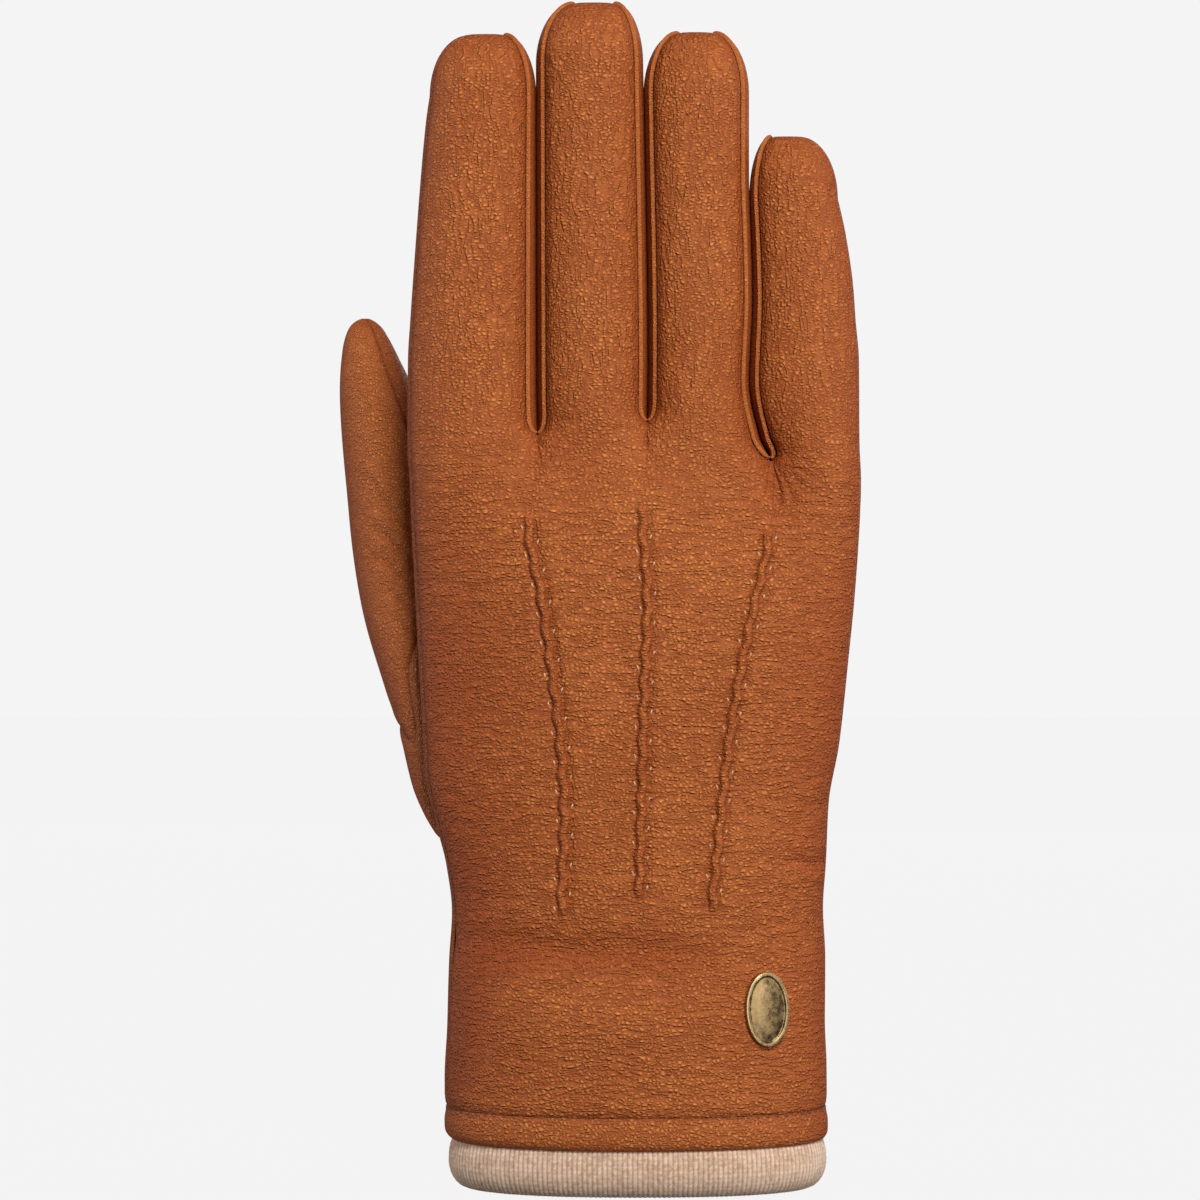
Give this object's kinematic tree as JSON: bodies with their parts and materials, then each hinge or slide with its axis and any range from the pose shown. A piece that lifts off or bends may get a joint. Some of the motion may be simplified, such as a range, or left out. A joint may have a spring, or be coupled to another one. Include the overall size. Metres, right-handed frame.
{
  "type": "touchscreen glove",
  "caption": "Right-hand leather glove with raised points on the back, knitted lining and cuff, fingers and thumb that bend at their roots.",
  "frame": {"origin": "centre of the opening that the hand goes in through, level with the lining cuff's rim", "axes": "+Z towards the fingertips, -Y out of the back of the hand, -X towards the thumb"},
  "size_m": [0.1093, 0.0559, 0.248],
  "materials": {
    "cognac_leather": "fine pebbled grain, satin",
    "leather_edge": "smooth, darker in the seams",
    "stitched_points": "raised tuck with tan thread",
    "oatmeal_knit": "brushed heather knit",
    "antique_brass": "aged, worn on the rim",
    "elastic_tape": "woven elastic",
    "touch_leather": "smooth conductive leather"
  },
  "bodies": {
    "hand": {"back_panel": "cognac_leather", "palm_panel": "cognac_leather", "cuff_hem": "cognac_leather", "thumb_root": "cognac_leather", "index_root": "cognac_leather", "middle_root": "cognac_leather", "ring_root": "cognac_leather", "little_root": "cognac_leather", "back_point_left": "stitched_points", "back_point_centre": "stitched_points", "back_point_right": "stitched_points", "lining_hand": "oatmeal_knit", "lining_cuff": "oatmeal_knit", "wrist_elastic": "elastic_tape", "badge_plate": "antique_brass", "badge_washer": "antique_brass"},
    "index_finger": {"index_back": "cognac_leather", "index_palm": "cognac_leather", "index_fourchette_right": "leather_edge", "lining_index": "oatmeal_knit", "touch_pad_index": "touch_leather"},
    "middle_finger": {"middle_back": "cognac_leather", "middle_palm": "cognac_leather", "middle_fourchette_left": "leather_edge", "middle_fourchette_right": "leather_edge", "lining_middle": "oatmeal_knit"},
    "ring_finger": {"ring_back": "cognac_leather", "ring_palm": "cognac_leather", "ring_fourchette_left": "leather_edge", "ring_fourchette_right": "leather_edge", "lining_ring": "oatmeal_knit"},
    "little_finger": {"little_back": "cognac_leather", "little_palm": "cognac_leather", "little_fourchette_left": "leather_edge", "lining_little": "oatmeal_knit"},
    "thumb": {"thumb_outer": "cognac_leather", "thumb_inner": "cognac_leather", "lining_thumb": "oatmeal_knit", "touch_pad_thumb": "touch_leather"}
  },
  "joints": [
    {"name": "index_bend", "type": "hinge", "parent": "hand", "child": "index_finger", "pos_m": [-0.0343, 0, 0.1682], "axis": [-1, 0, 0], "range_deg": [-10, 55], "stiffness_Nm_per_rad": 0.02, "deforming": ["index_root", "lining_index"]},
    {"name": "middle_bend", "type": "hinge", "parent": "hand", "child": "middle_finger", "pos_m": [-0.0092, 0, 0.1707], "axis": [-1, 0, 0], "range_deg": [-10, 60], "stiffness_Nm_per_rad": 0.02, "deforming": ["middle_root", "lining_middle"]},
    {"name": "ring_bend", "type": "hinge", "parent": "hand", "child": "ring_finger", "pos_m": [0.0152, 0, 0.1681], "axis": [-1, 0, 0], "range_deg": [-10, 60], "stiffness_Nm_per_rad": 0.02, "deforming": ["ring_root", "lining_ring"]},
    {"name": "little_bend", "type": "hinge", "parent": "hand", "child": "little_finger", "pos_m": [0.0375, 0, 0.1631], "axis": [-1, 0, 0], "range_deg": [-10, 60], "stiffness_Nm_per_rad": 0.02, "deforming": ["little_root", "lining_little"]},
    {"name": "thumb_swing", "type": "hinge", "parent": "hand", "child": "thumb", "pos_m": [-0.044, 0.018, 0.115], "axis": [0, -1, 0], "range_deg": [0, 30], "stiffness_Nm_per_rad": 0.02, "deforming": ["thumb_root", "lining_thumb"]}
  ]
}
